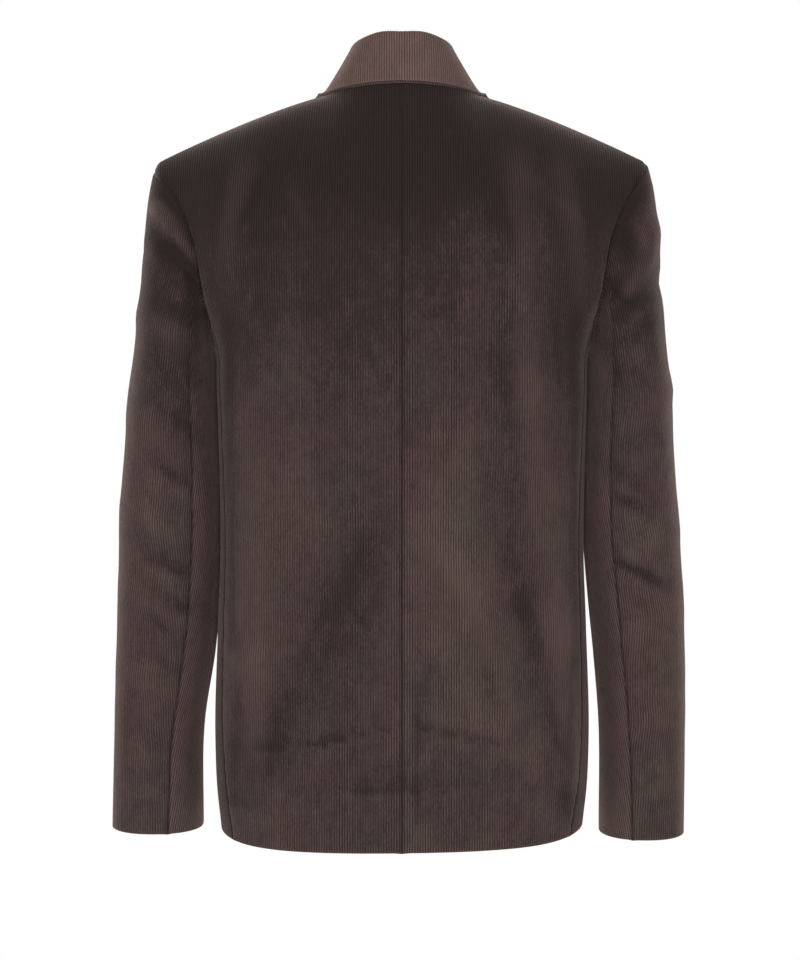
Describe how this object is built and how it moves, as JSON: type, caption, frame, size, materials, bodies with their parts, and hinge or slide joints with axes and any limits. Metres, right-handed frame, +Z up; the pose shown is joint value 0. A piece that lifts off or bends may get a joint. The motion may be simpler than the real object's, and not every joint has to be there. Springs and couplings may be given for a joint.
{
  "type": "corduroy jacket",
  "caption": "Tailored single-breasted blazer in dark brown corduroy, filled out as if worn, with a turned collar, notched lapels and long set-in sleeves.",
  "frame": {"origin": "the nape: the middle of the back neck seam, where the collar meets the back and the jacket hangs from the wearer", "axes": "+Z up along the centre-back seam, front of the jacket towards -Y, the wearer's left towards +X"},
  "size_m": [0.5653, 0.2474, 0.7812],
  "materials": {
    "corduroy": "napped corduroy, upright wales, matt",
    "collar_cloth": "the same corduroy, lighter and rosier where it is turned to the light",
    "button": "dark brown, soft shine, a guess"
  },
  "bodies": {
    "root": {"back_left": "corduroy", "back_right": "corduroy", "side_left": "corduroy", "side_right": "corduroy", "front_left": "corduroy", "front_right": "corduroy", "top_sleeve_left": "corduroy", "top_sleeve_right": "corduroy", "under_sleeve_left": "corduroy", "under_sleeve_right": "corduroy", "collar": "collar_cloth", "under_collar": "corduroy", "lapel_left": "corduroy", "lapel_right": "corduroy", "button_upper": "button", "button_lower": "button"}
  },
  "joints": []
}
